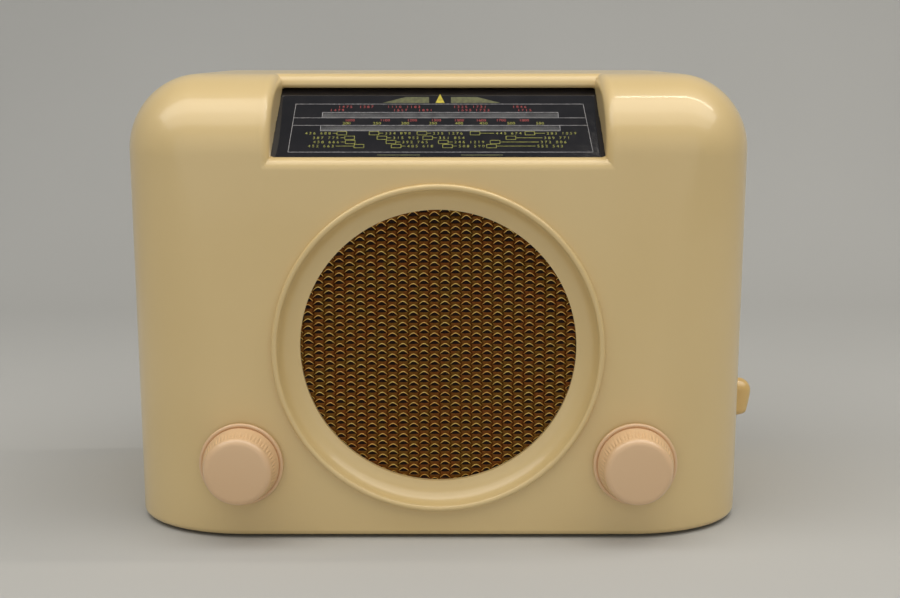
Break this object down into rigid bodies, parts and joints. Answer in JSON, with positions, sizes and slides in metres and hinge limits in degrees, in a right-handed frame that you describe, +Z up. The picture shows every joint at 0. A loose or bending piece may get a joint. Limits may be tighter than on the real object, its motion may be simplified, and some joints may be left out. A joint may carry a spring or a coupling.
{
  "type": "table radio receiver",
  "caption": "Table valve radio in a rounded moulded case with a sloping dial, a round grille, two knobs and a side lever.",
  "frame": {"origin": "middle of the footprint of the whole object, knobs and lever included, on the surface that the feet stand on", "axes": "+Z up, -Y out of the front with the grille and the knobs, +X to the viewer's right"},
  "size_m": [0.322, 0.1904, 0.2293],
  "materials": {
    "cream_case": "polished moulded urea plastic, cream, slightly aged",
    "cream_knob": "moulded urea plastic, pinkish cream",
    "amber_lever": "moulded urea plastic, amber cream",
    "black_rubber": "matt black rubber",
    "bronzed_mesh": "bronzed expanded metal",
    "brown_cloth": "open woven speaker cloth, dark brown",
    "plywood": "bare plywood",
    "grey_steel": "grey hammered paint",
    "black_paper": "pressed black paper",
    "magnet_iron": "painted iron",
    "brass_plate": "brass-plated steel",
    "lacquered_iron": "lacquered iron laminations",
    "dial_glass": "glass printed black on the back, with pale lines",
    "zinc_steel": "zinc-plated steel sheet",
    "bright_steel": "bright turned steel",
    "dark_steel": "blackened steel",
    "white_plate": "matt white paint",
    "red_pointer": "red paint",
    "waxed_cord": "waxed linen cord",
    "brass": "plain brass",
    "brown_board": "brown resin-bonded board",
    "coil_wax": "waxed coil windings",
    "valve_glass": "clear blown glass",
    "can_aluminium": "drawn aluminium",
    "vane_aluminium": "stamped aluminium",
    "dropper_ceramic": "cement-coated ceramic tube",
    "lamp_glass": "clear lamp glass",
    "wax_paper": "waxed paper tube",
    "aerial_wire": "cotton-covered wire, laced flat",
    "fibreboard": "pressed brown fibreboard"
  },
  "bodies": {
    "receiver": {"cabinet": "cream_case", "feet": "black_rubber", "speaker_grille": "bronzed_mesh", "grille_cloth": "brown_cloth", "baffle_board": "plywood", "speaker_frame": "grey_steel", "speaker_cone": "black_paper", "speaker_magnet": "magnet_iron", "speaker_screws": "brass_plate", "output_transformer": "lacquered_iron", "dial_glass": "dial_glass", "glass_clips": "zinc_steel", "dial_backplate": "white_plate", "dial_frame": "zinc_steel", "pointer_rail": "bright_steel", "drive_cord": "waxed_cord", "tuning_bush": "brass", "volume_control": "brown_board", "volume_nut": "brass", "wave_switch": "brown_board", "coil_pack": "coil_wax", "chassis": "zinc_steel", "chassis_screws": "bright_steel", "valve_sockets": "brown_board", "mixer_valve": "valve_glass", "amplifier_valve": "valve_glass", "detector_valve": "valve_glass", "output_valve": "valve_glass", "rectifier_valve": "valve_glass", "transformer_can_1": "can_aluminium", "transformer_can_2": "can_aluminium", "gang_frame": "zinc_steel", "gang_stator": "vane_aluminium", "smoothing_capacitor": "can_aluminium", "capacitor_clip": "zinc_steel", "mains_dropper": "dropper_ceramic", "dial_lamps": "lamp_glass", "lamp_holders": "zinc_steel", "tag_strips": "brown_board", "paper_capacitors": "wax_paper", "resistors": "brown_board", "aerial_frame": "aerial_wire", "socket_strip": "brown_board", "back_cover": "fibreboard", "back_screws": "brass_plate", "mains_grommet": "black_rubber"},
    "rotor": {"gang_rotor": "vane_aluminium", "drive_drum": "vane_aluminium", "cord_spring": "bright_steel"},
    "tuning": {"tuning_spindle": "bright_steel", "tuning_knob": "cream_knob", "tuning_grub_screw": "dark_steel"},
    "volume": {"volume_spindle": "bright_steel", "volume_knob": "cream_knob", "volume_grub_screw": "dark_steel"},
    "dial_pointer": {"pointer": "red_pointer"},
    "left_pulley": {"pulley_left": "brass"},
    "right_pulley": {"pulley_right": "brass"},
    "wave": {"wave_spindle": "bright_steel", "wave_lever": "amber_lever"}
  },
  "joints": [
    {"name": "rotor_turn", "type": "hinge", "parent": "receiver", "child": "rotor", "pos_m": [0.025, 0.01175, 0.102], "axis": [0, 1, 0], "range_deg": [0, 180]},
    {"name": "tuning_turn", "type": "hinge", "parent": "receiver", "child": "tuning", "pos_m": [0.0925, -0.07625, 0.039], "axis": [0, 1, 0], "range_deg": [0, 2143.62]},
    {"name": "pointer_slide", "type": "slide", "parent": "receiver", "child": "dial_pointer", "axis": [1, 0, 0], "range_m": [0, 0.1199]},
    {"name": "left_pulley_turn", "type": "hinge", "parent": "receiver", "child": "left_pulley", "pos_m": [-0.084, 0.01175, 0.2049], "axis": [0, 1, 0], "range_deg": [0, 1372.1]},
    {"name": "right_pulley_turn", "type": "hinge", "parent": "receiver", "child": "right_pulley", "pos_m": [0.074, 0.01175, 0.2049], "axis": [0, 1, 0], "range_deg": [0, 1372.1]},
    {"name": "volume_turn", "type": "hinge", "parent": "receiver", "child": "volume", "pos_m": [-0.1025, -0.07625, 0.039], "axis": [0, 1, 0], "range_deg": [0, 300]},
    {"name": "wave_swing", "type": "hinge", "parent": "receiver", "child": "wave", "pos_m": [0.151, -0.01625, 0.062], "axis": [1, 0, 0], "range_deg": [0, 30]}
  ],
  "couplings": [
    {"joint": "tuning_turn", "follows": "rotor_turn", "ratio": 11.906},
    {"joint": "pointer_slide", "follows": "rotor_turn", "m_per_rad": 0.0381},
    {"joint": "left_pulley_turn", "follows": "rotor_turn", "ratio": 7.62},
    {"joint": "right_pulley_turn", "follows": "rotor_turn", "ratio": 7.62}
  ]
}
